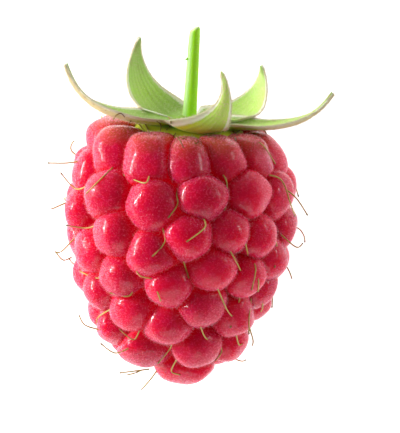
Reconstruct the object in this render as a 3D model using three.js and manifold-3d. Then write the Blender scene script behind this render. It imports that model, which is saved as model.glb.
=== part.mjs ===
// A raspberry as picked: a cluster of drupelets grown round one core, the five-lobed green calyx on top of
// it and the short stem that it hung from. Millimetres, +Z up. The berry lies on its side on the surface
// z = 0, with its stem along +Y, and the origin is on that surface under the middle of its box.
//
// Each piece is shaped in the berry's own frame, where z runs up the axis from the tip of the fruit to the
// stem, and the whole group is then laid down. An azimuth in that frame is in degrees round the axis: 0 is
// the side that ends up on top, 90 is towards +X and 180 is the side that the berry lies on.
import * as THREE from "three";
import { mergeVertices } from "three/addons/utils/BufferGeometryUtils.js";
import Module from "manifold-3d";

const { degToRad, radToDeg, clamp } = THREE.MathUtils;

// ---------- The fruit's sizes ----------
// Its outline is two quarters of superellipses, which meet at the widest ring.
const WIDEST_RADIUS = 10.45;
const WIDEST_HEIGHT = 15.5;
const FRUIT_TOP = 26.0;
const TIP_FULLNESS = 1.7;
const SHOULDER_FULLNESS = 2.3;

// The drupelets of the upper side, from the calyx to the tip, each [azimuth, height, radius].
const ROWS = {
  shoulder: [[-93, 23.8, 2.1], [-58, 23.2, 2.2], [-22, 23.0, 2.3], [6, 22.9, 1.9], [33, 23.1, 2.0],
    [61, 22.7, 1.9], [88, 21.9, 1.9]],
  upper: [[-80, 20.6, 2.0], [-49, 19.1, 2.3], [-16, 18.6, 2.3], [13, 19.4, 2.0], [43, 19.2, 2.1],
    [71, 18.5, 2.0], [99, 18.3, 2.0]],
  widest: [[-80, 16.6, 2.0], [-40, 15.4, 2.0], [5, 15.7, 2.2], [29, 15.9, 1.8], [50, 14.9, 1.8],
    [85, 14.7, 1.8]],
  middle: [[-97, 13.0, 1.9], [-63, 13.0, 2.0], [-17, 13.7, 2.4], [20, 12.2, 2.1], [67, 12.1, 1.8],
    [95, 11.0, 1.8]],
  lower: [[-85, 10.0, 1.8], [-40, 11.2, 1.9], [-7, 10.6, 1.9], [45, 11.0, 1.8], [71, 9.0, 1.7]],
  narrow: [[-63, 9.1, 1.8], [-36, 7.7, 2.1], [16, 8.4, 2.2], [49, 6.9, 2.0], [92, 7.2, 1.8]],
  nose: [[-93, 6.3, 1.8], [-66, 5.3, 1.8], [-10, 6.4, 2.0]],
  tip: [[-46, 3.3, 2.2], [20, 3.5, 2.0], [68, 3.5, 1.9], [-104, 2.9, 1.8]],
  end: [[25, 0.7, 2.3]],
};

// The drupelets of the underside start on a spiral and push each other apart until they are even.
const UNDERSIDE_COUNT = 42;
const UNDERSIDE_ARC = 0.45;
const UNDERSIDE_FOOT = 1.5;
const UNDERSIDE_RISE = 22.2;
const UNDERSIDE_RADIUS = 1.95;
const UNDERSIDE_VARIATION = 0.16;
const GOLDEN_ANGLE = 137.508;
const LOWEST_SEAT = 0.9;
const HIGHEST_SEAT = 23.4;
const SPACING = 0.86;
const ROUNDS = 120;
const EASE = 0.6;

// A drupelet is a squat egg. Its middle lies SINK radii below the outline and it leans towards the tip.
const SINK = 1.14;
const LEAN = degToRad(16);
const EGG_DEPTH = 1.17;
const EGG_WIDTH = 1.22;
const EGG_HEIGHT = 1.24;
const EGG_DETAIL = 1;
const SHOULDER_FROM = 21.7;
const SHOULDER_STRETCH = 1.22;
const CORE_DEPTH = 2.9;
const CORE_SIDES = 16;

// ---------- The calyx's and the stem's sizes ----------
const GAP = 0.3;
const CALYX_HEIGHT = 23.5;
const CALYX_LEAN = degToRad(5);
const CALYX_OFFSET = 0.76;
const CALYX_SIDES = 20;
const HUB_RADIUS = 4.0;
const HUB_THICKNESS = 1.0;
const SEPAL_ROOT = 3.4;
const SEPAL_THICKNESS = 0.6;
const SEPAL_CUP = 0.3;
const SEPAL_TIP = 0.3;
const SEPAL_STATIONS = 10;
const SEPAL_LANES = 4;
// Each sepal: its azimuth, half its width at the hub, how fast it narrows, and the three points that pull
// its midrib away from its root, as [out, across, up].
const SEPALS = [
  { azimuth: 8, half: 3.0, taper: 1.8, pull: [[2.4, 0.8, 0.1], [4.2, 2.4, 3.0], [1.2, 2.0, 5.6]] },
  { azimuth: 84, half: 2.3, taper: 1.5, pull: [[3.0, 0.0, 0.5], [6.8, 0.2, -0.2], [9.0, 0.6, 4.0]] },
  { azimuth: 128, half: 2.8, taper: 1.3, pull: [[3.2, 0.0, 0.2], [5.4, 0.2, 1.6], [4.4, 0.2, 4.9]] },
  { azimuth: -138, half: 2.9, taper: 1.5, pull: [[2.6, 0.0, 0.4], [4.8, 0.9, 3.4], [2.8, 1.2, 6.8]] },
  { azimuth: -66, half: 2.6, taper: 1.4, pull: [[3.0, 0.2, 0.6], [7.0, 0.2, 0.5], [9.2, 0.6, 5.4]] },
];

const STEM_FOOT = 23.9;
const STEM_END = 32.7;
const STEM_FOOT_RADIUS = 0.64;
const STEM_END_RADIUS = 0.47;
const STEM_LEAN = 0.55;
const STEM_SIDES = 12;
const CUT_SLANT = degToRad(18);
const PRICKLE_HEIGHT = 29.5;
const PRICKLE_LENGTH = 0.5;
const PRICKLE_RADIUS = 0.2;

// ---------- How the berry lies ----------
const REST_TILT = degToRad(11);
const REST_ROLL = degToRad(5);
const FLAT_DEPTH = 0.3;

const wasm = await Module();
wasm.setup();

function solidOf(geometry) {
  const bare = geometry.clone();
  bare.deleteAttribute("normal");
  bare.deleteAttribute("uv");
  const merged = mergeVertices(bare, 1e-5);
  return new wasm.Manifold(new wasm.Mesh({
    numProp: 3,
    vertProperties: new Float32Array(merged.attributes.position.array),
    triVerts: new Uint32Array(merged.index.array),
  }));
}

function geometryOf(solid) {
  const mesh = solid.getMesh();
  const geometry = new THREE.BufferGeometry();
  geometry.setAttribute("position", new THREE.BufferAttribute(mesh.vertProperties, 3));
  geometry.setIndex(new THREE.BufferAttribute(mesh.triVerts, 1));
  geometry.computeVertexNormals();
  return geometry;
}

// The largest body of a union, without the small hollows that its members seal between them.
function filled(solid) {
  return solid.decompose().sort((one, other) => other.volume() - one.volume())[0];
}

// A profile of [radius, height] points turned about the z axis.
function turned(profile, sides) {
  const points = profile.map(([radius, height]) => new THREE.Vector2(radius, height));
  return new THREE.LatheGeometry(points, sides).rotateX(Math.PI / 2);
}

// ---------- Where the drupelets sit ----------
function outlineRadius(height) {
  const isBelow = height < WIDEST_HEIGHT;
  const span = isBelow ? WIDEST_HEIGHT : FRUIT_TOP - WIDEST_HEIGHT;
  const fullness = isBelow ? TIP_FULLNESS : SHOULDER_FULLNESS;
  const part = Math.abs(height - WIDEST_HEIGHT) / span;
  return WIDEST_RADIUS * Math.max(0, 1 - part ** fullness) ** (1 / fullness);
}

// The outline's outward normal, as [away from the axis, up].
function outlineNormal(height) {
  const step = 0.02;
  const low = Math.max(0, height - step);
  const high = Math.min(FRUIT_TOP, height + step);
  const widening = outlineRadius(high) - outlineRadius(low);
  const length = Math.hypot(high - low, widening);
  return [(high - low) / length, -widening / length];
}

function seatOf([azimuth, height, radius]) {
  const [away, up] = outlineNormal(height);
  const turn = degToRad(azimuth);
  const ring = outlineRadius(height) - SINK * radius * away;
  return new THREE.Vector3(ring * Math.sin(turn), -ring * Math.cos(turn), height - SINK * radius * up);
}

function startOfUnderside(index) {
  const turn = (index * GOLDEN_ANGLE) % 360 - 180;
  const rise = ((index + 0.5) / UNDERSIDE_COUNT) ** 0.8;
  const radius = UNDERSIDE_RADIUS + UNDERSIDE_VARIATION * Math.sin(7 * index);
  return [180 + turn * UNDERSIDE_ARC, UNDERSIDE_FOOT + UNDERSIDE_RISE * rise, radius];
}

// How far one drupelet's neighbours push it round the axis and up the outline.
function pushOn(drupelet, seat, others, seats) {
  const turn = degToRad(drupelet[0]);
  const [away, up] = outlineNormal(drupelet[1]);
  const ring = Math.max(1, Math.hypot(seat.x, seat.y));
  let turning = 0;
  let rising = 0;
  others.forEach((other, index) => {
    const distance = seat.distanceTo(seats[index]);
    const wanted = SPACING * (drupelet[2] + other[2]);
    if (other === drupelet || distance >= wanted) return;
    const push = seat.clone().sub(seats[index]).multiplyScalar(0.5 * (wanted - distance) / distance);
    const outward = push.x * Math.sin(turn) - push.y * Math.cos(turn);
    const sideways = push.x * Math.cos(turn) + push.y * Math.sin(turn);
    turning += radToDeg(sideways / ring);
    rising += (away * push.z - up * outward) * Math.max(0.3, away);
  });
  return [turning, rising];
}

function layOutDrupelets() {
  const upperSide = Object.values(ROWS).flat();
  const underside = Array.from({ length: UNDERSIDE_COUNT }, (_, index) => startOfUnderside(index));
  for (let round = 0; round < ROUNDS; round += 1) {
    const before = [...upperSide, ...underside.map((drupelet) => [...drupelet])];
    const seats = before.map(seatOf);
    underside.forEach((drupelet, index) => {
      const place = upperSide.length + index;
      const [turning, rising] = pushOn(before[place], seats[place], before, seats);
      drupelet[0] += EASE * turning;
      drupelet[1] = clamp(drupelet[1] + EASE * rising, LOWEST_SEAT, HIGHEST_SEAT);
    });
  }
  return [...upperSide, ...underside];
}

// ---------- The fruit ----------
function makeDrupelet(drupelet) {
  const [azimuth, height, radius] = drupelet;
  const [away, up] = outlineNormal(height);
  const turn = degToRad(azimuth);
  const outward = new THREE.Vector3(away * Math.sin(turn), -away * Math.cos(turn), up);
  const sideways = new THREE.Vector3(Math.cos(turn), Math.sin(turn), 0);
  const tipward = sideways.clone().cross(outward);
  const axis = outward.multiplyScalar(Math.cos(LEAN)).addScaledVector(tipward, Math.sin(LEAN));
  const along = axis.clone().cross(sideways);
  const stretch = height > SHOULDER_FROM ? SHOULDER_STRETCH : 1;
  const egg = new THREE.IcosahedronGeometry(radius, EGG_DETAIL);
  egg.scale(EGG_WIDTH, EGG_HEIGHT * stretch, EGG_DEPTH);
  egg.applyMatrix4(new THREE.Matrix4().makeBasis(sideways, along, axis).setPosition(seatOf(drupelet)));
  return solidOf(egg);
}

// The core that the drupelets grow round follows the outline CORE_DEPTH below it.
function makeCore() {
  const foot = CORE_DEPTH * 0.8;
  const top = CALYX_HEIGHT - GAP;
  const profile = [[0, foot]];
  for (let height = foot + 1; height < top; height += 3) {
    profile.push([outlineRadius(height) - CORE_DEPTH, height]);
  }
  profile.push([HUB_RADIUS, top], [0, top]);
  return solidOf(turned(profile, CORE_SIDES));
}

function leanCalyx(geometry) {
  geometry.translate(0, 0, -CALYX_HEIGHT);
  geometry.rotateY(CALYX_LEAN);
  geometry.translate(CALYX_OFFSET, 0, CALYX_HEIGHT);
  return geometry;
}

// The dished space in the top of the fruit that the calyx lies in.
function makeCalyxSeat() {
  const floor = CALYX_HEIGHT - GAP;
  const roof = CALYX_HEIGHT + 6;
  const profile = [[0, floor], [HUB_RADIUS + GAP, floor], [6.4, floor + 0.8], [8.6, floor + 2.2],
    [8.6, roof], [0, roof]];
  return solidOf(leanCalyx(turned(profile, CALYX_SIDES)));
}

// ---------- The calyx ----------
function bezier(points, part) {
  const rest = 1 - part;
  const weights = [rest ** 3, 3 * rest * rest * part, 3 * rest * part * part, part ** 3];
  return points.reduce((sum, point, index) => sum.addScaledVector(point, weights[index]), new THREE.Vector3());
}

// One face of a sepal: a grid of points, with stations along the midrib and lanes across it.
function sepalFace({ azimuth, half, taper, pull }, offset) {
  const turn = degToRad(azimuth);
  const out = new THREE.Vector3(Math.sin(turn), -Math.cos(turn), 0);
  const side = new THREE.Vector3(Math.cos(turn), Math.sin(turn), 0);
  const root = out.clone().multiplyScalar(SEPAL_ROOT).setZ(CALYX_HEIGHT + HUB_THICKNESS * 0.55);
  const midrib = [[0, 0, 0], ...pull].map(([away, across, up]) => {
    const point = root.clone().addScaledVector(out, away).addScaledVector(side, across);
    return point.setZ(root.z + up);
  });
  const points = [];
  for (let station = 0; station <= SEPAL_STATIONS; station += 1) {
    const part = station / SEPAL_STATIONS;
    const ahead = bezier(midrib, Math.min(1, part + 0.01));
    const along = ahead.sub(bezier(midrib, Math.max(0, part - 0.01))).normalize();
    const across = side.clone().addScaledVector(along, -side.dot(along)).normalize();
    const inward = along.clone().cross(across);
    const reach = Math.max(SEPAL_TIP, half * (1 - part) ** taper * (1 + part));
    for (let lane = 0; lane <= SEPAL_LANES; lane += 1) {
      const share = 2 * lane / SEPAL_LANES - 1;
      const point = bezier(midrib, part).addScaledVector(across, share * reach);
      points.push(point.addScaledVector(inward, SEPAL_CUP * reach * share * share + offset));
    }
  }
  return points;
}

// The two faces are split into triangles alike, so that they stay parallel where the sepal curls.
function makeSepal(sepal) {
  const inner = sepalFace(sepal, SEPAL_THICKNESS / 2);
  const outer = sepalFace(sepal, -SEPAL_THICKNESS / 2);
  const row = SEPAL_LANES + 1;
  const below = inner.length;
  const triangles = [];
  const addQuad = (a, b, c, d) => triangles.push(a, b, c, a, c, d);
  for (let station = 0; station < SEPAL_STATIONS; station += 1) {
    const left = station * row;
    const right = left + SEPAL_LANES;
    for (let corner = left; corner < right; corner += 1) {
      triangles.push(corner, corner + row + 1, corner + 1, corner, corner + row, corner + row + 1);
      addQuad(below + corner, below + corner + 1, below + corner + row + 1, below + corner + row);
    }
    addQuad(left, below + left, below + left + row, left + row);
    addQuad(right, right + row, below + right + row, below + right);
  }
  for (let lane = 0; lane < SEPAL_LANES; lane += 1) {
    const end = SEPAL_STATIONS * row + lane;
    addQuad(lane, lane + 1, below + lane + 1, below + lane);
    addQuad(end, below + end, below + end + 1, end + 1);
  }
  const geometry = new THREE.BufferGeometry().setFromPoints([...inner, ...outer]);
  geometry.setIndex(triangles);
  return solidOf(leanCalyx(geometry));
}

function makeHub() {
  const top = CALYX_HEIGHT + HUB_THICKNESS;
  const profile = [[0, CALYX_HEIGHT], [HUB_RADIUS - 0.4, CALYX_HEIGHT], [HUB_RADIUS, CALYX_HEIGHT + 0.5],
    [HUB_RADIUS - 0.5, top], [0, top]];
  return solidOf(leanCalyx(turned(profile, CALYX_SIDES)));
}

// ---------- The stem ----------
// A tapered, slightly leaning stalk with a slanted cut at its end, grown all round by `growth`.
function makeStalk(growth) {
  const length = STEM_END - STEM_FOOT;
  const stalk = new THREE.CylinderGeometry(STEM_END_RADIUS + growth, STEM_FOOT_RADIUS + growth,
    length + 2 * growth, STEM_SIDES, 4);
  stalk.rotateX(Math.PI / 2);
  const corners = stalk.attributes.position;
  for (let index = 0; index < corners.count; index += 1) {
    const part = corners.getZ(index) / length + 0.5;
    const slant = part > 0.99 ? corners.getX(index) * Math.tan(CUT_SLANT) : 0;
    corners.setZ(index, corners.getZ(index) - slant);
    corners.setX(index, corners.getX(index) + STEM_LEAN * part);
  }
  stalk.translate(CALYX_OFFSET, 0, STEM_FOOT + length / 2);
  return solidOf(stalk);
}

function makePrickle() {
  const part = (PRICKLE_HEIGHT - STEM_FOOT) / (STEM_END - STEM_FOOT);
  const middle = CALYX_OFFSET + STEM_LEAN * part;
  const length = STEM_FOOT_RADIUS + PRICKLE_LENGTH;
  const prickle = new THREE.ConeGeometry(PRICKLE_RADIUS, length, 6).rotateZ(Math.PI / 2);
  prickle.translate(middle - length / 2, 0, PRICKLE_HEIGHT);
  return solidOf(prickle);
}

// ---------- The whole berry, laid down ----------
const raspberry = new THREE.Group();
raspberry.rotation.set(REST_TILT - Math.PI / 2, 0, REST_ROLL);

// Lowers the berry until the surface cuts FLAT_DEPTH into it, and returns the block below the surface.
function layOnSurface(solid) {
  raspberry.position.z = 0;
  raspberry.updateMatrixWorld(true);
  const lowest = geometryOf(solid).applyMatrix4(raspberry.matrixWorld);
  lowest.computeBoundingBox();
  raspberry.position.z = -lowest.boundingBox.min.z - FLAT_DEPTH;
  raspberry.updateMatrixWorld(true);
  const block = new THREE.BoxGeometry(80, 80, 10).translate(0, 0, -5);
  return solidOf(block.applyMatrix4(raspberry.matrixWorld.clone().invert()));
}

function addPiece(name, solid, color, roughness) {
  const material = new THREE.MeshStandardMaterial({ color, roughness, metalness: 0 });
  const mesh = new THREE.Mesh(geometryOf(solid), material);
  mesh.name = name;
  raspberry.add(mesh);
}

const cluster = layOutDrupelets().reduce((sum, drupelet) => sum.add(makeDrupelet(drupelet)), makeCore());
const fruit = filled(cluster.subtract(makeCalyxSeat()));
const sepals = SEPALS.reduce((sum, sepal) => sum.add(makeSepal(sepal)), makeHub());

addPiece("drupelets", filled(fruit.subtract(layOnSurface(fruit))), 0xb3122f, 0.4);
addPiece("calyx", filled(sepals.subtract(makeStalk(GAP))), 0x9cbc5c, 0.7);
addPiece("pedicel", makeStalk(0).add(makePrickle()), 0x86bd3a, 0.6);

const middle = new THREE.Box3().setFromObject(raspberry, true).getCenter(new THREE.Vector3());
raspberry.position.x = -middle.x;
raspberry.position.y = -middle.y;
raspberry.updateMatrixWorld(true);

export default raspberry;
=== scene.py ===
import math
import random

import bmesh
import bpy
import numpy as np
from mathutils import Matrix, Vector, noise
from mathutils.bvhtree import BVHTree


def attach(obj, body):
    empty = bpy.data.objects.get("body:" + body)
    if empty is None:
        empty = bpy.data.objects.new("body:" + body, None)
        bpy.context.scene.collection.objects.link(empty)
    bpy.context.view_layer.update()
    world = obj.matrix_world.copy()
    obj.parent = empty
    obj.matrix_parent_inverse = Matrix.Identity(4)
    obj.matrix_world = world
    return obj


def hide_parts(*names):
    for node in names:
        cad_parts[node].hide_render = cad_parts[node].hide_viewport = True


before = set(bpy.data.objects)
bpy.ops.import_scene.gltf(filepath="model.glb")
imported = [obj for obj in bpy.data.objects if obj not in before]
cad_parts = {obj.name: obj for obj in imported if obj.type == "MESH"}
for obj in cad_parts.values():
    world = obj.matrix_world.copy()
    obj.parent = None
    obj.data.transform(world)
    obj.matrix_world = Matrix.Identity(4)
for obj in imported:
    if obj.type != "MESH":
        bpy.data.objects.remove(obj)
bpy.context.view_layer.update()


# ---------------------------------------------------------------- how the berry lies, camera, light
# A ripe raspberry lies on its side on a pale table, its stem pointing away, and is seen from above. Each
# piece is shaped in the berry's own frame: millimetres, z up the axis from the tip of the fruit to the stem,
# x to the right, y down towards the table. `laid` turns a point of that frame into its place on the table.
MM = 0.001
REST_TILT = math.radians(11)
REST_ROLL = math.radians(5)
TIP_SPOT = Vector((-1.7036, -16.1996, 7.0622))

laid = (Matrix.Translation(TIP_SPOT * MM) @ Matrix.Rotation(REST_TILT - math.pi / 2, 4, "X")
        @ Matrix.Rotation(REST_ROLL, 4, "Z") @ Matrix.Scale(MM, 4))

VIEW_ABOVE = math.radians(12)
VIEW_DISTANCE = 360.0
VIEW_HEIGHT = 38.71
VIEW_CENTRE = Vector((1.743, 0.0, 15.58))
VIEW_ROWS, VIEW_COLUMNS = 433, 400
SENSOR = 36.0

view_back = Vector((0, -math.cos(VIEW_ABOVE), math.sin(VIEW_ABOVE)))
view_up = Vector((0, math.sin(VIEW_ABOVE), math.cos(VIEW_ABOVE)))
view_right = Vector((1, 0, 0))
eye = VIEW_CENTRE + view_back * VIEW_DISTANCE


def turned_to_world(right, up, back):
    axes = [(laid.to_3x3() @ axis).normalized() for axis in (right, up, back)]
    return Matrix(axes).transposed().to_4x4()


camera = bpy.data.objects.new("camera", bpy.data.cameras.new("camera"))
camera.data.sensor_width = SENSOR
camera.data.lens = SENSOR * VIEW_DISTANCE / VIEW_HEIGHT
camera.data.clip_start = 0.01
camera.matrix_world = Matrix.Translation(laid @ eye) @ turned_to_world(view_right, view_up, view_back)
bpy.context.collection.objects.link(camera)
bpy.context.scene.camera = camera


def soft_box(name, direction, distance, width, height, power):
    """A studio soft box that faces the berry; its direction is as seen by the camera: right, up, back.

    Its width lies level with the table and its height rises from it.
    """
    aim = view_right * direction[0] + view_up * direction[1] + view_back * direction[2]
    aim = (laid.to_3x3() @ aim).normalized()
    lamp = bpy.data.lights.new(name, "AREA")
    lamp.shape = "RECTANGLE"
    lamp.size = width
    lamp.size_y = height
    lamp.energy = power
    box = bpy.data.objects.new(name, lamp)
    box.location = laid @ VIEW_CENTRE + aim * distance
    box.rotation_euler = aim.to_track_quat("Z", "Y").to_euler()
    bpy.context.collection.objects.link(box)


soft_box("key_light", (-0.96, 0.22, 0.19), distance=0.30, width=0.20, height=0.022, power=1.5)
soft_box("fill_light", (0.88, 0.30, 0.40), distance=0.32, width=0.16, height=0.04, power=0.20)
soft_box("front_light", (0.0, -0.92, 0.36), distance=0.36, width=0.34, height=0.20, power=0.50)

# The room is white at the horizon and dimmer above it, most of all overhead, where the camera stands. Each
# stop is how far up a way points, from 0 to 1, and how bright the room is there.
ROOM_STOPS = ((0.01, 1.0), (0.04, 0.40), (0.45, 0.40), (0.70, 0.27), (0.95, 0.14))

room = bpy.data.worlds.new("room")
room.use_nodes = True
room_nodes = room.node_tree.nodes
room_nodes["Background"].inputs["Color"].default_value = (1, 1, 1, 1)
ways = room_nodes.new("ShaderNodeTexCoord")
upward = room_nodes.new("ShaderNodeSeparateXYZ")
dimming = room_nodes.new("ShaderNodeValToRGB")
while len(dimming.color_ramp.elements) < len(ROOM_STOPS):
    dimming.color_ramp.elements.new(0.5)
for stop, (height, level) in zip(dimming.color_ramp.elements, ROOM_STOPS):
    stop.position = height
    stop.color = (level, level, level, 1)
room.node_tree.links.new(ways.outputs["Generated"], upward.inputs[0])
room.node_tree.links.new(upward.outputs["Z"], dimming.inputs[0])
room.node_tree.links.new(dimming.outputs[0], room_nodes["Background"].inputs["Strength"])
bpy.context.scene.world = room
bpy.context.scene.view_settings.view_transform = "Standard"


# ---------------------------------------------------------------- the table
# A plain, nearly white table top under the berry. It is no part of the fruit. It is a smooth painted board,
# so only its gloss varies a little.
TABLE_SIZE = 900.0


class Value:
    """One socket of a finish. Ordinary operators on it add the Math nodes that work the result out."""

    def __init__(self, finish, socket):
        self.finish = finish
        self.socket = socket

    def maths(self, operation, first, second):
        return self.finish.add("Math", {"operation": operation}, {0: first, 1: second})

    def __add__(self, other):
        return self.maths("ADD", self, other)

    def __sub__(self, other):
        return self.maths("SUBTRACT", self, other)

    def __rsub__(self, other):
        return self.maths("SUBTRACT", other, self)

    def __mul__(self, other):
        return self.maths("MULTIPLY", self, other)

    __radd__ = __add__
    __rmul__ = __mul__


class Finish:
    """A material: constants go on the shader's own sockets, and add() makes any other node."""

    def __init__(self, name, **constants):
        self.material = bpy.data.materials.new(name)
        self.material.use_nodes = True
        self.nodes = self.material.node_tree.nodes
        self.links = self.material.node_tree.links
        self.shader = self.nodes["Principled BSDF"]
        for socket, value in constants.items():
            self.shader.inputs[socket.replace("_", " ")].default_value = value

    def put(self, socket, value):
        if isinstance(value, Value):
            self.links.new(value.socket, socket)
        else:
            socket.default_value = value

    def add(self, kind, settings, sockets, output=0):
        node = self.nodes.new("ShaderNode" + kind)
        for setting, value in settings.items():
            if setting == "stops":
                self.set_stops(node.color_ramp, value)
            else:
                setattr(node, setting, value)
        for socket, value in sockets.items():
            self.put(node.inputs[socket], value)
        return Value(self, node.outputs[output])

    def set_stops(self, ramp, stops):
        while len(ramp.elements) < len(stops):
            ramp.elements.new(0.5)
        for element, (position, level) in zip(ramp.elements, stops):
            element.position = position
            element.color = (level, level, level, 1)

    def attribute(self, name):
        return self.add("Attribute", {"attribute_name": name}, {}, "Fac")

    def place(self):
        return self.add("TexCoord", {}, {}, "Object")

    def noise(self, per_mm, detail=2.0, roughness=0.5):
        sockets = {"Vector": self.place(), "Scale": per_mm / MM, "Detail": detail, "Roughness": roughness}
        return self.add("TexNoise", {}, sockets)

    def ramp(self, value, *stops):
        return self.add("ValToRGB", {"stops": stops}, {0: value})

    def blend(self, share, first, second):
        sockets = {0: share, 6: first, 7: second}
        return self.add("Mix", {"data_type": "RGBA"}, sockets, 2)

    def bump(self, height, strength, depth_mm):
        sockets = {"Strength": strength, "Distance": depth_mm * MM, "Height": height}
        self.put(self.shader.inputs["Normal"], self.add("Bump", {}, sockets))

    def cover(self, share, shader):
        """Lays another shader over the finish; share says how much of it shows."""
        own = Value(self, self.shader.outputs[0])
        mixed = self.add("MixShader", {}, {0: share, 1: own, 2: shader})
        self.put(self.nodes["Material Output"].inputs["Surface"], mixed)

    def color(self, value):
        self.put(self.shader.inputs["Base Color"], value)

    def roughness(self, value):
        self.put(self.shader.inputs["Roughness"], value)


board = bmesh.new()
bmesh.ops.create_grid(board, x_segments=1, y_segments=1, size=TABLE_SIZE / 2 * MM)
table_mesh = bpy.data.meshes.new("table")
board.to_mesh(table_mesh)
board.free()
table = bpy.data.objects.new("table", table_mesh)
bpy.context.collection.objects.link(table)
painted = Finish("painted_board", Base_Color=(0.93, 0.93, 0.93, 1), Emission_Color=(1, 1, 1, 1),
                 Emission_Strength=0.85)
painted.roughness(painted.noise(0.02) * 0.1 + 0.5)
table_mesh.materials.append(painted.material)


# ---------------------------------------------------------------- the fruit: drupelets round a core
# Eighty-six drupelets, thin-skinned sacs of juice, grow round one soft core. Where two meet they press each
# other flat. The skin is glossy and translucent, and browner where it meets the calyx. In the folds it is
# painted a clear, deep red with a faint glow, a painted glow standing in for light shining through the skin.
WIDEST_RADIUS = 10.45
WIDEST_HEIGHT = 15.5
FRUIT_TOP = 26.0
TIP_FULLNESS = 1.7
SHOULDER_FULLNESS = 2.3

# The drupelets of the upper side, from the calyx to the tip, each (azimuth, height, radius).
ROWS = {
    "shoulder": [(-93, 23.8, 2.1), (-58, 23.2, 2.2), (-22, 23.0, 2.3), (6, 22.9, 1.9), (33, 23.1, 2.0),
                 (61, 22.7, 1.9), (88, 21.9, 1.9)],
    "upper": [(-80, 20.6, 2.0), (-49, 19.1, 2.3), (-16, 18.6, 2.3), (13, 19.4, 2.0), (43, 19.2, 2.1),
              (71, 18.5, 2.0), (99, 18.3, 2.0)],
    "widest": [(-80, 16.6, 2.0), (-40, 15.4, 2.0), (5, 15.7, 2.2), (29, 15.9, 1.8), (50, 14.9, 1.8),
               (85, 14.7, 1.8)],
    "middle": [(-97, 13.0, 1.9), (-63, 13.0, 2.0), (-17, 13.7, 2.4), (20, 12.2, 2.1), (67, 12.1, 1.8),
               (95, 11.0, 1.8)],
    "lower": [(-85, 10.0, 1.8), (-40, 11.2, 1.9), (-7, 10.6, 1.9), (45, 11.0, 1.8), (71, 9.0, 1.7)],
    "narrow": [(-63, 9.1, 1.8), (-36, 7.7, 2.1), (16, 8.4, 2.2), (49, 6.9, 2.0), (92, 7.2, 1.8)],
    "nose": [(-93, 6.3, 1.8), (-66, 5.3, 1.8), (-10, 6.4, 2.0)],
    "tip": [(-46, 3.3, 2.2), (20, 3.5, 2.0), (68, 3.5, 1.9), (-104, 2.9, 1.8)],
    "end": [(25, 0.7, 2.3)],
}

# The drupelets of the underside start on a spiral and push each other apart until they are even.
UNDERSIDE_COUNT = 42
UNDERSIDE_ARC = 0.45
UNDERSIDE_FOOT = 1.5
UNDERSIDE_RISE = 22.2
UNDERSIDE_RADIUS = 1.95
UNDERSIDE_VARIATION = 0.16
UNDERSIDE_CROWDING = 0.8
GOLDEN_ANGLE = 137.508
LOWEST_SEAT, HIGHEST_SEAT = 0.9, 23.4
SPACING = 0.86
ROUNDS = 120
EASE = 0.6

# A drupelet is a squat egg. Its middle lies SINK radii below the outline and it leans towards the tip.
SINK = 1.14
LEAN = math.radians(16)
EGG_DEPTH, EGG_WIDTH, EGG_HEIGHT = 1.17, 1.22, 1.24
SHOULDER_FROM = 21.7
SHOULDER_STRETCH = 1.22
PRESSING = 9
SKIN_OVERLAP = 0.14
NEIGHBOUR_REACH = 2.2
LEAST_FACING = 0.05
DENT_DEPTH, DENTS_PER_MM = 0.22, 0.55
GLOW_SPAN = 20.0
# Down grows on the faces whose corners, taken together, are pressed in by less than this.
DOWNY_BELOW = 0.45
# The fruit is fuller or slimmer here and there, each (side, height, how far up and down, how much).
FULLER = [(-1, 4.2, 3.4, 0.8), (-1, 24.2, 1.6, 0.8), (1, 8.5, 1.6, -0.45), (1, 19.6, 1.6, 0.3),
          (1, 2.0, 1.5, 0.3)]
FLANK_WIDTH = 6.0
CORE_DEPTH = 2.9
CORE_SIDES = 48
CORE_HEIGHTS = (0.2, 0.5, 1.2, 2.4, 4.0, 6.0, 8.5, 11.0, 13.5, 16.0, 18.5, 20.5, 22.0, 23.0, 23.6)
CALYX_HEIGHT = 23.5
CALYX_OFFSET = 0.76
CALYX_LIMIT, LIMIT_SLOPE, LIMIT_SOFTNESS = 24.3, -0.08, 0.85


def outline_radius(height):
    below = height < WIDEST_HEIGHT
    span = WIDEST_HEIGHT if below else FRUIT_TOP - WIDEST_HEIGHT
    fullness = TIP_FULLNESS if below else SHOULDER_FULLNESS
    part = abs(height - WIDEST_HEIGHT) / span
    return WIDEST_RADIUS * max(0.0, 1 - part ** fullness) ** (1 / fullness)


def outline_normal(height):
    """The outline's outward normal, as how far it points away from the axis and up."""
    step = 0.02
    low, high = max(0.0, height - step), min(FRUIT_TOP, height + step)
    widening = outline_radius(high) - outline_radius(low)
    length = math.hypot(high - low, widening)
    return (high - low) / length, -widening / length


def ways_from(azimuth, height):
    """Unit vectors outwards, sideways and towards the tip at a place on the outline."""
    turn = math.radians(azimuth)
    away, up = outline_normal(height)
    outward = Vector((away * math.sin(turn), -away * math.cos(turn), up))
    sideways = Vector((math.cos(turn), math.sin(turn), 0))
    return outward, sideways, sideways.cross(outward)


def seat_of(azimuth, height, radius):
    turn = math.radians(azimuth)
    away, up = outline_normal(height)
    ring = outline_radius(height) - SINK * radius * away
    return Vector((ring * math.sin(turn), -ring * math.cos(turn), height - SINK * radius * up))


def push_on(place, drupelets, seats):
    """How far its neighbours push one drupelet round the axis, in degrees, and up the outline."""
    azimuth, height, radius = drupelets[place]
    turn = math.radians(azimuth)
    away, up = outline_normal(height)
    ring = max(1.0, math.hypot(seats[place].x, seats[place].y))
    turning = rising = 0.0
    for other, seat in enumerate(seats):
        apart = seats[place] - seat
        wanted = SPACING * (radius + drupelets[other][2])
        if other == place or apart.length >= wanted:
            continue
        push = apart * (0.5 * (wanted - apart.length) / apart.length)
        outward = push.x * math.sin(turn) - push.y * math.cos(turn)
        turning += math.degrees((push.x * math.cos(turn) + push.y * math.sin(turn)) / ring)
        rising += (away * push.z - up * outward) * max(0.3, away)
    return turning, rising


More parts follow.
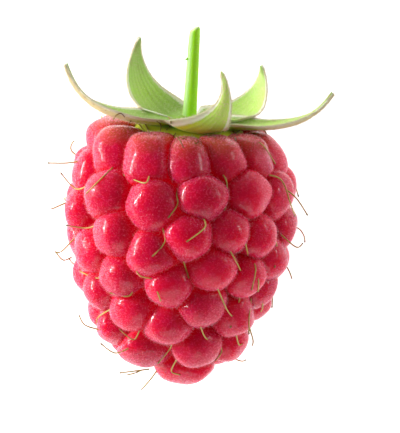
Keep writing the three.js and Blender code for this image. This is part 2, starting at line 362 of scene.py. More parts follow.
def lay_out_drupelets():
    drupelets = [drupelet for row in ROWS.values() for drupelet in row]
    upper_count = len(drupelets)
    for index in range(UNDERSIDE_COUNT):
        turn = (index * GOLDEN_ANGLE) % 360 - 180
        height = UNDERSIDE_FOOT + UNDERSIDE_RISE * ((index + 0.5) / UNDERSIDE_COUNT) ** UNDERSIDE_CROWDING
        radius = UNDERSIDE_RADIUS + UNDERSIDE_VARIATION * math.sin(7 * index)
        drupelets.append((180 + turn * UNDERSIDE_ARC, height, radius))
    for _ in range(ROUNDS):
        seats = [seat_of(*drupelet) for drupelet in drupelets]
        pushes = [push_on(place, drupelets, seats) for place in range(upper_count, len(drupelets))]
        for place, (turning, rising) in enumerate(pushes, upper_count):
            azimuth, height, radius = drupelets[place]
            height = min(max(height + EASE * rising, LOWEST_SEAT), HIGHEST_SEAT)
            drupelets[place] = (azimuth + EASE * turning, height, radius)
    return drupelets


drupelets = lay_out_drupelets()
seats = np.array([seat_of(*drupelet) for drupelet in drupelets])
radii = np.array([radius for _, _, radius in drupelets])


def skin_reach(place, rays):
    """How far a drupelet's skin is from its middle along each ray, and how hard it is pressed in there."""
    azimuth, height, radius = drupelets[place]
    outward, sideways, tipward = ways_from(azimuth, height)
    axis = outward * math.cos(LEAN) + tipward * math.sin(LEAN)
    along = axis.cross(sideways)
    stretch = SHOULDER_STRETCH if height > SHOULDER_FROM else 1.0
    spans = [(axis, EGG_DEPTH), (sideways, EGG_WIDTH), (along, EGG_HEIGHT * stretch)]
    egg = sum((rays @ np.array(way) / (radius * span)) ** 2 for way, span in spans) ** -0.5
    total = egg ** -PRESSING
    for other in range(len(drupelets)):
        apart = seats[other] - seats[place]
        distance = np.linalg.norm(apart)
        if other == place or distance > NEIGHBOUR_REACH * (radius + radii[other]):
            continue
        wall = distance * radius / (radius + radii[other]) + SKIN_OVERLAP
        facing = rays @ (apart / distance)
        met = facing > LEAST_FACING
        total[met] += (wall / facing[met]) ** -PRESSING
    reach = total ** (-1 / PRESSING)
    return reach, 1 - reach / egg


def unevenness(place):
    """How far a point of the fruit is moved to the right by the fuller and slimmer parts of its sides."""
    shift = 0.0
    for side, height, spread, amount in FULLER:
        flank = min(max(side * place.x / FLANK_WIDTH, 0.0), 1.0)
        shift += side * amount * flank * math.exp(-((place.z - height) / spread) ** 2)
    return shift


def under_calyx(place):
    """The height of a point of the fruit, once the calyx above it has pressed it down."""
    limit = CALYX_LIMIT + LIMIT_SLOPE * place.x - LIMIT_SOFTNESS
    above = max(place.z - limit, 0.0)
    return min(place.z, limit) + LIMIT_SOFTNESS * (1 - math.exp(-above / LIMIT_SOFTNESS))


def lay_down(name, shape, finish, node):
    """Lays a shape modelled in the berry's frame on the table, as a finished piece of the berry."""
    shape.transform(laid)
    for vert in shape.verts:
        vert.co.z = max(vert.co.z, 0.0)
    mesh = bpy.data.meshes.new(name)
    shape.to_mesh(mesh)
    shape.free()
    mesh.shade_smooth()
    mesh.materials.append(finish.material)
    piece = bpy.data.objects.new(name, mesh)
    bpy.context.collection.objects.link(piece)
    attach(piece, "root")
    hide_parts(node)


def spun(profile, sides):
    """A closed bmesh made by spinning a profile of (radius, height) points round the axis."""
    shape = bmesh.new()
    chain = [shape.verts.new((radius, 0, height)) for radius, height in profile]
    edges = [shape.edges.new(pair) for pair in zip(chain, chain[1:])]
    bmesh.ops.spin(shape, geom=chain + edges, cent=(0, 0, 0), axis=(0, 0, 1), angle=math.tau, steps=sides,
                   use_merge=True)
    bmesh.ops.remove_doubles(shape, verts=shape.verts, dist=0.001)
    bmesh.ops.recalc_face_normals(shape, faces=shape.faces)
    return shape


core_top = CORE_HEIGHTS[-1]
core_profile = [(max(0.4, outline_radius(height) - CORE_DEPTH), height + CORE_DEPTH * (1 - height / core_top))
                for height in CORE_HEIGHTS]
cluster = spun([(0, core_profile[0][1])] + core_profile + [(0, core_top)], CORE_SIDES)
ripeness = cluster.verts.layers.float.new("ripeness")
pressed = cluster.verts.layers.float.new("pressed")
calyx_end = cluster.verts.layers.float.new("calyx_end")
for vert in cluster.verts:
    vert[pressed] = 1.0
draw = random.Random(5)
for place in range(len(drupelets)):
    ball = bmesh.ops.create_icosphere(cluster, subdivisions=4, radius=1.0)["verts"]
    rays = np.array([vert.co for vert in ball])
    reach, pressing = skin_reach(place, rays)
    ripe = draw.random()
    for vert, ray, distance, press in zip(ball, rays, reach, pressing):
        vert.co = seats[place] + ray * distance
        vert.co += Vector(ray) * DENT_DEPTH * noise.noise(vert.co * DENTS_PER_MM)
        vert.co.x += unevenness(vert.co)
        vert.co.z = under_calyx(vert.co)
        vert[ripeness] = ripe
        vert[pressed] = press
        vert[calyx_end] = (vert.co.z - LIMIT_SLOPE * vert.co.x) / FRUIT_TOP

# The skin's emission is a painted glow, used only in the folds.
skin = Finish("drupelet_skin", Subsurface_Weight=1.0, Subsurface_Scale=3.0 * MM,
              Subsurface_Radius=(1.0, 0.02, 0.05), Specular_IOR_Level=0.24, Emission_Strength=0.7)
fold = skin.ramp(skin.attribute("pressed") + skin.noise(0.4) * 0.08, (0.05, 0), (0.14, 1))
flesh = skin.blend(skin.attribute("ripeness"), (0.62, 0.000, 0.036, 1), (0.49, 0.000, 0.032, 1))
# Painted glow: the folds are painted a clear, deep red, standing in for light shining through the skin.
flesh = skin.blend(fold, flesh, (0.60, 0.0, 0.008, 1))
brown = skin.ramp(skin.attribute("calyx_end") + skin.noise(0.6) * 0.06, (0.895, 0), (0.945, 1)) * 0.7
flesh = skin.blend(brown, flesh, (0.36, 0.085, 0.020, 1))
fuzz = skin.ramp(skin.noise(6.0, 5.0, 0.75), (0.52, 0), (0.60, 1))
skin.color(skin.blend(fuzz * (1 - fold) * 0.50, flesh, (0.84, 0.04, 0.17, 1)))
# The folds are painted with a faint red glow as emission, standing in for light shining through the skin; the
# painted glow fades from left to right, away from the key light.
from_left = skin.add("SeparateXYZ", {}, {0: skin.place()}) * (1 / (GLOW_SPAN * MM)) + 0.5
painted_glow_share = skin.ramp(from_left, (0.20, 1), (0.65, 0.2))
skin.put(skin.shader.inputs["Emission Color"],
         skin.blend(fold * painted_glow_share, (0.0, 0.0, 0.0, 1), (0.28, 0.0, 0.006, 1)))
skin.roughness(fuzz * 0.32 + 0.14)
skin.bump(fuzz * 0.3 + skin.noise(1.2) * 2, 0.2, 0.05)
# The down whitens the skin where it is seen edge on.
edge_on = skin.ramp(skin.add("LayerWeight", {}, {0: 0.5}, "Facing"), (0.14, 0), (0.80, 1))
frost = skin.add("BsdfPrincipled", {}, {"Base Color": (0.88, 0.24, 0.38, 1), "Roughness": 0.9,
                                        "Specular IOR Level": 0.0})
skin.cover(edge_on * (1 - fold * 0.8) * (fuzz * 0.95 + 0.03), frost)

drupelet_sides = BVHTree.FromBMesh(cluster)
cluster.normal_update()
free_faces = [face for face in cluster.faces if sum(vert[pressed] for vert in face.verts) < DOWNY_BELOW]
skin_places = np.array([face.calc_center_median() for face in free_faces])
skin_normals = np.array([face.normal for face in free_faces])
lay_down("drupelet_cluster", cluster, skin, "drupelets")


# ---------------------------------------------------------------- the down on the drupelets
# Every drupelet is powdered with very short, pale, curling hairs, thickest on its free outer side. Each one
# is a three-sided spike whose root is sunk in the skin.
DOWN_COUNTS = {"drupelet_down": 48000, "underside_down": 24000}
DOWN_THICKNESS = 0.012
DOWN_SINK = 0.02
DOWN_LEAN = 0.25
DOWN_SCATTER = 0.12
DOWN_LENGTHS = (0.12, 0.28)

down_white = Finish("down_white", Base_Color=(0.90, 0.52, 0.60, 1), Roughness=0.6, Sheen_Weight=0.3)


def loose_spikes(count):
    """Three-sided spikes in one bmesh, one after another: one is made, and an array repeats it in place."""
    spike = bmesh.new()
    bmesh.ops.create_cone(spike, cap_ends=True, segments=3, radius1=1.0, radius2=0.0, depth=1.0)
    spike_mesh = bpy.data.meshes.new("spike")
    spike.to_mesh(spike_mesh)
    maker = bpy.data.objects.new("spike", spike_mesh)
    bpy.context.collection.objects.link(maker)
    repeat = maker.modifiers.new("repeat", "ARRAY")
    repeat.use_relative_offset = False
    repeat.count = count
    copies = bpy.data.meshes.new_from_object(maker.evaluated_get(bpy.context.evaluated_depsgraph_get()))
    spike.clear()
    spike.from_mesh(copies)
    bpy.data.objects.remove(maker)
    bpy.data.meshes.remove(copies)
    bpy.data.meshes.remove(spike_mesh)
    return spike


def grow_hairs(roots, ways, lengths, thickness):
    """Spikes of the given lengths that stand on the roots and point along the ways."""
    shape = loose_spikes(len(roots))
    local = np.array([vert.co for vert in shape.verts]).reshape(len(roots), -1, 3)
    side = np.cross(ways, np.roll(ways, 1, axis=1) + 0.01)
    side /= np.linalg.norm(side, axis=1, keepdims=True)
    across = np.cross(ways, side)
    placed = roots[:, None] + side[:, None] * local[..., :1] * thickness / 2
    placed += across[:, None] * local[..., 1:2] * thickness / 2
    placed += ways[:, None] * (local[..., 2:] + 0.5) * lengths[:, None, None]
    for vert, corner in zip(shape.verts, placed.reshape(-1, 3)):
        vert.co = corner
    return shape


def unit(rows):
    return rows / np.linalg.norm(rows, axis=1, keepdims=True)


chance = np.random.default_rng(11)
for name, count in DOWN_COUNTS.items():
    on_side = np.flatnonzero((skin_places[:, 1] > 0) == (name == "underside_down"))
    chosen = chance.choice(on_side, size=count)
    normals = skin_normals[chosen]
    leaning = unit(normals + DOWN_LEAN * chance.normal(size=normals.shape))
    scatter = DOWN_SCATTER * np.cross(normals, chance.normal(size=normals.shape))
    roots = skin_places[chosen] + scatter - normals * DOWN_SINK
    lengths = chance.uniform(*DOWN_LENGTHS, count)
    lay_down(name, grow_hairs(roots, leaning, lengths, DOWN_THICKNESS), down_white, "drupelets")


# ---------------------------------------------------------------- the styles
# Most drupelets still carry the dry style of the flower: a thin, bent, straw-coloured thread some three
# millimetres long, with a greenish knob at its end. They lie over the drupelets and stand out at the sides.
STYLE_THICKNESS = 0.12
KNOB_THICKNESS = 0.20
STYLE_STATIONS = 18
STYLE_SIDES = 6
STYLE_LIFT, STYLE_SINK = 0.12, 0.2
# The styles of the upper side, from root to knob, as columns and rows of the camera's view.
VIEWED_STYLES = [
    [(113, 167), (100, 181), (87, 194)], [(149, 175), (145, 184), (124, 174)],
    [(89, 182), (77, 188), (60, 172)], [(78, 160), (67, 163), (47, 163)], [(66, 201), (54, 208), (51, 209)],
    [(99, 221), (88, 229), (65, 225)], [(176, 187), (178, 195), (176, 205), (167, 218)],
    [(222, 174), (226, 186), (225, 212)], [(278, 166), (264, 148), (258, 143)],
    [(267, 176), (281, 181), (291, 205), (294, 217)], [(287, 188), (297, 199), (308, 216)],
    [(163, 228), (166, 241), (152, 257)], [(203, 219), (204, 228), (186, 242)],
    [(242, 221), (245, 245), (248, 257)], [(129, 254), (139, 273), (153, 279)],
    [(181, 258), (185, 269), (188, 279)], [(229, 250), (235, 262), (241, 271)],
    [(253, 259), (255, 270), (251, 290)], [(259, 274), (258, 283), (257, 291)],
    [(271, 230), (276, 245), (274, 268)], [(279, 234), (296, 247), (303, 243)],
    [(287, 267), (290, 273), (292, 279)], [(108, 269), (98, 279), (80, 271)],
    [(135, 289), (128, 295), (110, 292)], [(154, 286), (160, 297), (163, 307)],
    [(113, 307), (100, 317), (98, 323)], [(142, 329), (134, 340), (120, 328)],
    [(171, 338), (172, 347), (157, 363)], [(99, 331), (85, 325), (79, 315)],
    [(129, 348), (115, 353), (100, 343)], [(216, 286), (225, 308), (232, 316)],
    [(237, 294), (239, 301), (230, 328)], [(251, 298), (248, 317), (249, 335)],
    [(263, 300), (262, 306), (260, 311)], [(199, 322), (206, 339), (223, 339)],
    [(217, 333), (222, 350), (214, 360)], [(236, 333), (238, 344), (242, 343)],
    [(250, 325), (253, 340), (252, 346)], [(179, 355), (172, 370), (181, 374)],
    [(150, 369), (135, 371), (119, 373)], [(142, 370), (135, 373), (127, 375)],
    [(156, 370), (150, 380), (141, 390)], [(75, 236), (62, 251), (55, 252)],
    [(72, 257), (63, 260), (55, 251)],
]


def seen_at(column, row):
    """The ray through a place in the camera's view, as its start and its direction."""
    scale = VIEW_HEIGHT / VIEW_ROWS
    aim = VIEW_CENTRE + view_right * (column - VIEW_COLUMNS / 2) * scale
    aim += view_up * (VIEW_ROWS / 2 - row) * scale
    return eye, (aim - eye).normalized()


def trace_path(path, surfaces, lift, sunk):
    """Drops a viewed path on the surfaces. Past their outline it goes on as deep as it was there."""
    points = []
    depth = VIEW_DISTANCE
    for order, (column, row) in enumerate(path):
        start, aim = seen_at(column, row)
        spot, normal = start + aim * depth, -aim
        hits = [sides.ray_cast(start, aim) for sides in surfaces]
        hits = [hit for hit in hits if hit[0] is not None]
        if hits:
            spot, normal, _, _ = min(hits, key=lambda hit: hit[3])
        depth = (spot - start).length
        points.append(spot + normal * (lift if order else -sunk))
    return points


def through(points, part):
    """A smooth curve through three or more points (Catmull-Rom)."""
    spans = len(points) - 1
    index = min(int(part * spans), spans - 1)
    share = part * spans - index
    before, start = points[max(index - 1, 0)], points[index]
    end, after = points[index + 1], points[min(index + 2, spans)]
    return 0.5 * (2 * start + (end - before) * share + (2 * before - 5 * start + 4 * end - after) * share ** 2
                  + (3 * start - before - 3 * end + after) * share ** 3)


def draw_thread(shape, points, radius_at, sides, stations, along):
    """A closed thread: a sphere whose rings are moved one by one to their places along a curve."""
    ball = bmesh.ops.create_uvsphere(shape, u_segments=sides, v_segments=stations, radius=1.0)["verts"]
    for vert in ball:
        part = math.acos(max(-1.0, min(1.0, -vert.co.z))) / math.pi
        ring = Vector((vert.co.x, vert.co.y))
        if ring.length > 0.001:
            ring.normalize()
        way = (through(points, min(1, part + 0.02)) - through(points, max(0, part - 0.02))).normalized()
        side = way.cross(view_right if abs(way.x) < 0.9 else view_up).normalized()
        ring *= radius_at(part)
        vert[along] = part
        vert.co = through(points, part) + side * ring.x + way.cross(side) * ring.y


def style_radius(part):
    knob = math.exp(-((part - 0.97) / 0.04) ** 2)
    return STYLE_THICKNESS / 2 * (1.15 - 0.3 * part) + (KNOB_THICKNESS - STYLE_THICKNESS) / 2 * knob


def grow_style(place):
    """The points of a style on a drupelet of the underside: out of its skin, then bent along it."""
    azimuth, height, radius = drupelets[place]
    outward, sideways, tipward = ways_from(azimuth, height)
    spot = Vector(seats[place]) + outward * radius * 0.95
    spot, normal, _, _ = drupelet_sides.find_nearest(spot + outward * 3)
    turn = draw.uniform(0, math.tau)
    bend = sideways * math.cos(turn) + tipward * (math.sin(turn) + 0.4)
    tall = draw.uniform(0.3, 0.9)
    return [spot - normal * STYLE_SINK, spot + normal * tall * 0.7 + bend * 0.5,
            spot + normal * tall + bend * 1.4, spot + normal * tall * 0.8 + bend * 2.3]


styles = bmesh.new()
style_part = styles.verts.layers.float.new("along")
upper_count = sum(len(row) for row in ROWS.values())
for place in range(upper_count, len(drupelets)):
    draw_thread(styles, grow_style(place), style_radius, STYLE_SIDES, STYLE_STATIONS, style_part)
for path in VIEWED_STYLES:
    points = trace_path(path, (drupelet_sides,), STYLE_LIFT, STYLE_SINK)
    draw_thread(styles, points, style_radius, STYLE_SIDES, STYLE_STATIONS, style_part)

straw = Finish("straw", Roughness=0.55, Subsurface_Weight=0.3, Subsurface_Scale=0.2 * MM)
ends = straw.ramp(straw.attribute("along"), (0.0, 1), (0.12, 0), (0.86, 0), (0.96, 1))
mottle = straw.blend(straw.noise(2.0), (0.36, 0.30, 0.05, 1), (0.50, 0.42, 0.10, 1))
straw.color(straw.blend(ends, mottle, (0.16, 0.13, 0.02, 1)))
lay_down("styles", styles, straw, "drupelets")


# ---------------------------------------------------------------- the calyx: five sepals
# The calyx is the green leaf star that held the flower. Its five pointed sepals are thin and green inside,
# felted with short hairs. Their rim is woolly and whitish, and their outer face is yellow-green at the root
# and beige and hairy further out.
CALYX_LEAN = math.radians(5)
HUB_THICKNESS = 1.0
SEPAL_ROOT = 3.4
SEPAL_THICKNESS = 0.34
SEPAL_CUP = 0.3
SEPAL_TIP = 0.06
TIP_WIDENING = 0.6
# Inside its root a sepal runs on towards the stem and narrows. CLAW says for how much of its length.
CLAW = 0.15
CLAW_REACH, CLAW_NARROWING = 15.0, 4.5
SEPAL_STATIONS = 56
SEPAL_LANES = 22
# The ripple along a blade is a sine that turns by RIPPLE_TURN radians from root to tip.
RIPPLE_DEPTH, RIPPLE_TURN = 0.10, 9
GROOVE_DEPTH, GROOVE_SHARE = 0.08, 0.14
FACE_SHARPNESS = 3
# Each sepal: its azimuth, half its width at the hub, how fast it narrows, how woolly its outer face is, and
# the three points that pull its midrib away from its root, as (out, across, up).
SEPALS = [
    (8, 3.0, 2.3, 0.15, [(2.4, 0.8, 0.1), (4.2, 2.9, 3.0), (1.2, 1.65, 5.6)]),
    (84, 2.3, 1.5, 0.7, [(3.0, 0.0, 0.5), (6.8, 0.2, -0.2), (9.0, 0.6, 4.0)]),
    (128, 2.8, 1.3, 0.2, [(3.2, 0.0, 0.2), (5.4, 0.2, 1.6), (4.4, 0.2, 4.9)]),
    (-138, 2.9, 1.5, 0.3, [(2.6, 0.0, 0.4), (4.8, 0.8, 3.4), (3.8, 0.3, 6.5)]),
    (-66, 2.6, 1.4, 0.85, [(3.0, 0.2, 0.6), (7.0, 0.2, 0.5), (9.2, 0.6, 5.4)]),
]

calyx_lean = (Matrix.Translation((CALYX_OFFSET, 0, CALYX_HEIGHT)) @ Matrix.Rotation(CALYX_LEAN, 4, "Y")
              @ Matrix.Translation((0, 0, -CALYX_HEIGHT)))


def bezier(points, part):
    rest = 1 - part
    weights = (rest ** 3, 3 * rest * rest * part, 3 * rest * part * part, part ** 3)
    return sum((point * weight for point, weight in zip(points, weights)), Vector())


def sepal_place(sepal, part, share):
    """A point of a sepal's middle sheet and the ways along, across and inwards there.

    Part goes from 0 at the root to 1 at the tip, and share from -1 to 1 across the blade. Where part is below
    0 the blade narrows towards the stem, over the hub.
    """
    azimuth, half, taper, _, pull = sepal
    claw = min(0, part)
    part = max(0, part)
    turn = math.radians(azimuth)
    out = Vector((math.sin(turn), -math.cos(turn), 0))
    side = Vector((math.cos(turn), math.sin(turn), 0))
    root = out * SEPAL_ROOT + Vector((0, 0, CALYX_HEIGHT + HUB_THICKNESS * 0.55))
    midrib = [root] + [root + out * away + side * across + Vector((0, 0, up)) for away, across, up in pull]
    along = (bezier(midrib, min(1, part + 0.01)) - bezier(midrib, max(0, part - 0.01))).normalized()
    across = (side - along * side.dot(along)).normalized()
    inward = along.cross(across)
    reach = half * (1 - part) ** taper * (1 + part) + TIP_WIDENING * part * (1 - part) ** 0.5 + SEPAL_TIP
    reach *= 1 + claw * CLAW_NARROWING
    ripple = RIPPLE_DEPTH * share * share * math.sin(RIPPLE_TURN * part + azimuth) * min(1, 4 * part)
    groove = GROOVE_DEPTH * math.exp(-(share / GROOVE_SHARE) ** 2) * (1 - part)
    lift = SEPAL_CUP * (1 - part * part) * reach * share * share + ripple - groove
    place = bezier(midrib, part) + out * (claw * CLAW_REACH) + across * (share * reach) + inward * lift
    return place, (along, across, inward)


def make_sepal(sepal):
    stations = [(1, index / SEPAL_STATIONS) for index in range(SEPAL_STATIONS + 1)]
    blade = spun([(0, 0)] + stations + [(0, 1)], 2 * SEPAL_LANES)
    lane = blade.verts.layers.float.new("lane")
    station = blade.verts.layers.float.new("station")
    outer = blade.verts.layers.float.new("outer")
    wool = blade.verts.layers.float.new("wool")
    for vert in blade.verts:
        share, face, part = vert.co
        part += CLAW * (part - 1)
        middle, (_, _, inward) = sepal_place(sepal, part, share)
        vert[lane] = share
        vert[station] = part
        vert[outer] = min(1, max(0, 0.5 - FACE_SHARPNESS * face))
        vert[wool] = sepal[3]
        vert.co = middle + inward * face * SEPAL_THICKNESS / 2
    bmesh.ops.recalc_face_normals(blade, faces=blade.faces)
    return blade


calyx = bmesh.new()
for sepal in SEPALS:
    blade = make_sepal(sepal)
    loose = bpy.data.meshes.new("sepal")
    blade.to_mesh(loose)
    calyx.from_mesh(loose)
    bpy.data.meshes.remove(loose)
    blade.free()
calyx.transform(calyx_lean)
calyx_sides = BVHTree.FromBMesh(calyx)

leaf = Finish("sepal_leaf", Roughness=0.75, Subsurface_Weight=0.2, Subsurface_Scale=0.4 * MM,
              Subsurface_Radius=(0.6, 1.0, 0.3), Specular_IOR_Level=0.15, Sheen_Weight=0.1,
              Sheen_Roughness=0.5, Sheen_Tint=(0.95, 1.0, 0.85, 1))
station = leaf.attribute("station")
lane = leaf.attribute("lane")
wool = leaf.attribute("wool")
outer = leaf.attribute("outer")
felt = leaf.noise(9.0, 3.0, 0.7)
vein_turns = lane * 26 + leaf.noise(0.5) * 3
veins = leaf.add("Math", {"operation": "SINE"}, {0: vein_turns}) * 0.5 + 0.5
past_root = leaf.ramp(station, (0.0, 0), (0.45, 1))
inside = leaf.blend(past_root, (0.200, 0.380, 0.014, 1), (0.450, 0.700, 0.085, 1))
inside = leaf.blend(leaf.ramp(station, (0.4, 0), (0.9, 1)), inside, (0.480, 0.680, 0.200, 1))
outside = leaf.blend(leaf.ramp(station, (0.08, 0), (0.40, 1)), (0.66, 0.68, 0.00, 1), (0.54, 0.80, 0.10, 1))
woolly = leaf.ramp(felt + (wool + 0.15) * leaf.ramp(station, (0.20, 0), (0.50, 1)), (0.75, 0), (1.0, 1))
outside = leaf.blend(woolly * 0.85, outside, (0.84, 0.68, 0.36, 1))
green = leaf.blend(outer, inside, outside)
green = leaf.blend(veins * (0.13 - outer * 0.06), green, (0.55, 0.68, 0.36, 1))
pale_felt = leaf.ramp(felt, (0.46, 0), (0.66, 1)) * (0.45 - outer * 0.35)
green = leaf.blend(pale_felt, green, (0.72, 0.80, 0.45, 1))
rim = leaf.ramp(lane * lane + felt * 0.3 + outer * (0.20 - wool * 0.2), (0.78, 0), (0.92, 1))
green = leaf.blend(rim * 0.92, green, (0.88, 0.88, 0.72, 1))
browned = leaf.ramp(leaf.noise(1.5, 3.0) + station * 0.18, (0.70, 0), (0.78, 1)) * wool
green = leaf.blend(browned * 0.6, green, (0.33, 0.19, 0.06, 1))
leaf.color(green)
leaf.bump(felt + veins * 0.5, 0.5, 0.06)
lay_down("sepals", calyx, leaf, "calyx")


# ---------------------------------------------------------------- the wool on the sepals
# Soft white hairs, matted into a pale band along every rim and lying towards the tip on the outer face. The
# inner face has only a thin fur of shorter ones.
RIM_HAIRS, OUTER_HAIRS, INNER_HAIRS = 18000, 24000, 8000
WOOL_THICKNESS = 0.016
BARE_ROOT = 0.1
RIM_FROM = 0.88
WOOL_LENGTHS = {"rim": (0.08, 0.28), "outer": (0.12, 0.36), "inner": (0.08, 0.2)}


def wool_root(sepal, kind):
    """One hair of a sepal: its root, its way and its length. The kind is rim, outer or inner."""
    part = draw.random() ** 1.2 * 0.98
    share = draw.uniform(-0.97, 0.97)
    if kind == "rim":
        share = draw.choice((-1, 1)) * draw.uniform(RIM_FROM, 1.0)
    if kind == "outer":
        part = BARE_ROOT + (1 - BARE_ROOT) * part ** 0.5
    place, (along, across, inward) = sepal_place(sepal, part, share)
    loose = Vector((draw.gauss(0, 1), draw.gauss(0, 1), draw.gauss(0, 1)))
    to_face = inward * SEPAL_THICKNESS / 2 * math.sqrt(1 - share * share)
    if kind == "rim":
        face = draw.uniform(-1, 1)
        way = across * share * 0.8 + along * 0.5 + inward * face + loose * 0.35
        return place + to_face * face, way.normalized(), draw.uniform(*WOOL_LENGTHS[kind])
    if kind == "outer":
        way = along * 0.7 - inward * 0.3 + loose * 0.45
        return place - to_face, way.normalized(), draw.uniform(*WOOL_LENGTHS[kind])
    way = along * 0.5 + inward * 0.7 + loose * 0.3
    return place + to_face, way.normalized(), draw.uniform(*WOOL_LENGTHS[kind])


hairs = []
for kind, count in (("rim", RIM_HAIRS), ("outer", OUTER_HAIRS), ("inner", INNER_HAIRS)):
    for index in range(count):
        sepal = SEPALS[index % len(SEPALS)]
        if kind != "outer" or draw.random() < sepal[3]:
            hairs.append(wool_root(sepal, kind))
wool_roots, wool_ways, wool_lengths = (np.array(column) for column in zip(*hairs))
wool_mat = grow_hairs(wool_roots, wool_ways, wool_lengths, WOOL_THICKNESS)
wool_mat.transform(calyx_lean)
wool_white = Finish("wool_white", Base_Color=(0.82, 0.71, 0.46, 1), Roughness=0.7, Sheen_Weight=0.2)
lay_down("sepal_wool", wool_mat, wool_white, "calyx")


# ---------------------------------------------------------------- the calyx hub
# The thick, flat, yellow-green disc that joins the five sepals to the stem. It is smooth and a little
# mottled, and a darker green on top.
HUB_PROFILE = [(0, 22.9), (3.6, 22.9), (4.5, 23.1), (4.9, 23.4), (4.8, 23.7), (4.3, 23.95), (3.5, 24.12),
               (2.8, 24.22), (1.9, 24.30), (1.2, 24.48), (0.8, 24.75), (0, 24.8)]
HUB_SIDES = 48
HUB_TOP_FROM = 24.0

hub = spun(HUB_PROFILE, HUB_SIDES)
inner = hub.verts.layers.float.new("inner")
for vert in hub.verts:
    vert[inner] = 1.0 if vert.co.z > HUB_TOP_FROM else 0.0
hub.transform(calyx_lean)
hub_sides = BVHTree.FromBMesh(hub)
hub_skin = Finish("hub_skin", Roughness=0.7, Specular_IOR_Level=0.2)
speckle = hub_skin.ramp(hub_skin.noise(9.0, 3.0, 0.7), (0.46, 0), (0.66, 1))
below = hub_skin.blend(hub_skin.noise(1.0), (0.36, 0.42, 0.01, 1), (0.46, 0.50, 0.03, 1))
above = hub_skin.blend(speckle * 0.4, (0.20, 0.36, 0.02, 1), (0.55, 0.68, 0.30, 1))
hub_skin.color(hub_skin.blend(hub_skin.attribute("inner"), below, above))
hub_skin.bump(hub_skin.noise(3.0, 3.0), 0.4, 0.08)
lay_down("calyx_hub", hub, hub_skin, "calyx")


# ---------------------------------------------------------------- the dried stamens
# Withered brown threads of the old flower, caught round the joint between the calyx and the fruit. They are
# thin, bent and matt, a darker brown at their ends.
STAMEN_THICKNESS = 0.13
STAMEN_LIFT, STAMEN_SINK = 0.05, 0.1
STAMEN_SIDES, STAMEN_STATIONS = 5, 14
# The stamens, from root to tip, as columns and rows of the camera's view.
VIEWED_STAMENS = [
    [(113, 119), (116, 115), (121, 113), (125, 117)], [(124, 121), (129, 123), (131, 120)],
    [(134, 126), (138, 124), (143, 129)], [(145, 124), (147, 128), (150, 134)],
    [(148, 118), (157, 121), (161, 125), (160, 132)], [(168, 117), (171, 121), (170, 127), (166, 131)],
    [(170, 133), (173, 136), (176, 133)], [(174, 134), (180, 141), (184, 149)],
    [(180, 137), (183, 139), (187, 138)], [(193, 141), (196, 144), (199, 141)],
    [(241, 127), (239, 131), (235, 134)], [(233, 134), (236, 139), (235, 147)],
    [(228, 133), (233, 132), (238, 136)], [(249, 132), (256, 134), (263, 132)],
    [(262, 129), (266, 134), (262, 137)], [(205, 140), (210, 136), (216, 138)],
]


def stamen_radius(part):
    return STAMEN_THICKNESS / 2 * (1.1 - 0.5 * part)


stamens = bmesh.new()
stamen_part = stamens.verts.layers.float.new("along")
for path in VIEWED_STAMENS:
    points = trace_path(path, (drupelet_sides, calyx_sides, hub_sides), STAMEN_LIFT, STAMEN_SINK)
    draw_thread(stamens, points, stamen_radius, STAMEN_SIDES, STAMEN_STATIONS, stamen_part)
withered = Finish("withered", Roughness=0.8)
dark_ends = withered.ramp(withered.attribute("along") + withered.noise(2.0) * 0.3, (0.3, 0), (0.9, 1))
withered.color(withered.blend(dark_ends, (0.30, 0.20, 0.03, 1), (0.13, 0.05, 0.015, 1)))
lay_down("stamens", stamens, withered, "calyx")


# ---------------------------------------------------------------- the stem
# The short stalk that the berry hung from: smooth, round and tapered, cut off at a slant, with one tiny
# prickle. It is downy and a clear green, with a painted highlight: it is painted pale on its left side, where
# the key light falls.
STEM_FOOT, STEM_END = 23.9, 32.7
STEM_FOOT_RADIUS, STEM_END_RADIUS = 0.64, 0.47
STEM_LEAN = 0.55
CUT_SLANT = math.radians(24)
STEM_RINGS = 40
STEM_SIDES = 36
PRICKLE_HEIGHT = 29.9
PRICKLE_LENGTH, PRICKLE_RADIUS = 0.34, 0.12
PRICKLE_TURN = math.radians(200)
STEM_DOWN = 2600
STEM_DOWN_THICKNESS = 0.014
STEM_DOWN_LENGTHS = (0.05, 0.14)
# The slant of the cut fades out over the last one part in CUT_FADE of the stem.
CUT_FADE = 6
# Up to ROUND_FROM of its length the stem is full; its rounded end follows, each ring as (reach, part).
ROUND_FROM = 0.945
ROUNDED_END = [(0.98, 0.962), (0.94, 0.974), (0.86, 0.985), (0.72, 0.993), (0.45, 0.998), (0, 0.999)]
CUT_FROM = 0.985


def stem_place(turn, part, reach=1.0):
    """A point of the stem: turn goes round it, part goes up it, and reach is 1 on its skin."""
    radius = (STEM_FOOT_RADIUS + (STEM_END_RADIUS - STEM_FOOT_RADIUS) * part) * reach
    slant = math.tan(CUT_SLANT) * max(0.0, 1 - (1 - part) * CUT_FADE)
    across = math.cos(turn) * radius
    height = STEM_FOOT + (STEM_END - STEM_FOOT) * part + across * slant
    return Vector((CALYX_OFFSET + STEM_LEAN * part + across, math.sin(turn) * radius, height))


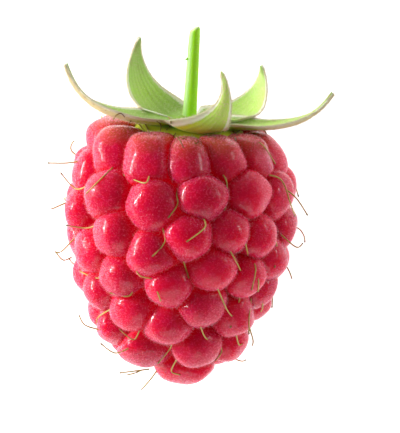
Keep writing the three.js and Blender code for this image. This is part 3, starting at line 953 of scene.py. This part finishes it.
rings = [(1.0, index / STEM_RINGS * ROUND_FROM) for index in range(STEM_RINGS + 1)]
stem = spun([(0, 0)] + rings + ROUNDED_END, STEM_SIDES)
lit_side = stem.verts.layers.float.new("lit_side")
cut = stem.verts.layers.float.new("cut")
for vert in stem.verts:
    reach = math.hypot(vert.co.x, vert.co.y)
    vert[lit_side] = -vert.co.x
    vert[cut] = 1.0 if vert.co.z > CUT_FROM else 0.0
    vert.co = stem_place(math.atan2(vert.co.y, vert.co.x), vert.co.z, reach)
prickle = bmesh.ops.create_cone(stem, cap_ends=True, segments=12, radius1=PRICKLE_RADIUS, radius2=0.01,
                                depth=PRICKLE_LENGTH)["verts"]
prickle_part = (PRICKLE_HEIGHT - STEM_FOOT) / (STEM_END - STEM_FOOT)
prickle_foot = stem_place(PRICKLE_TURN, prickle_part)
out = Vector((math.cos(PRICKLE_TURN), math.sin(PRICKLE_TURN), -0.25)).normalized()
for vert in prickle:
    vert.co = prickle_foot + out.to_track_quat("Z", "X") @ (vert.co + Vector((0, 0, PRICKLE_LENGTH * 0.4)))

stalk = Finish("stalk", Roughness=0.45, Subsurface_Weight=0.3, Subsurface_Scale=0.4 * MM,
               Subsurface_Radius=(0.5, 1.0, 0.2), Specular_IOR_Level=0.3)
streaks = stalk.noise(1.2, 3.0)
fresh = stalk.blend(streaks, (0.36, 0.80, 0.006, 1), (0.47, 0.90, 0.02, 1))
# Painted highlight: the left side, towards the key light, is painted pale.
pale = stalk.ramp(stalk.attribute("lit_side") + streaks * 0.3, (0.25, 0), (0.75, 1))
fresh = stalk.blend(pale * 0.7, fresh, (0.30, 0.41, 0.23, 1))
fresh = stalk.blend(stalk.attribute("cut"), fresh, (0.55, 0.72, 0.30, 1))
stalk.color(fresh)
stalk.bump(stalk.noise(5.0, 3.0), 0.3, 0.03)
lay_down("stem", stem, stalk, "pedicel")

hairs = []
for _ in range(STEM_DOWN):
    turn, part = draw.uniform(0, math.tau), draw.uniform(0.04, 0.97)
    way = Vector((math.cos(turn), math.sin(turn), 0.6 + draw.gauss(0, 0.4))).normalized()
    hairs.append((stem_place(turn, part), way, draw.uniform(*STEM_DOWN_LENGTHS)))
down_roots, down_ways, down_lengths = (np.array(column) for column in zip(*hairs))
stem_down = grow_hairs(down_roots, down_ways, down_lengths, STEM_DOWN_THICKNESS)
lay_down("stem_down", stem_down, wool_white, "pedicel")
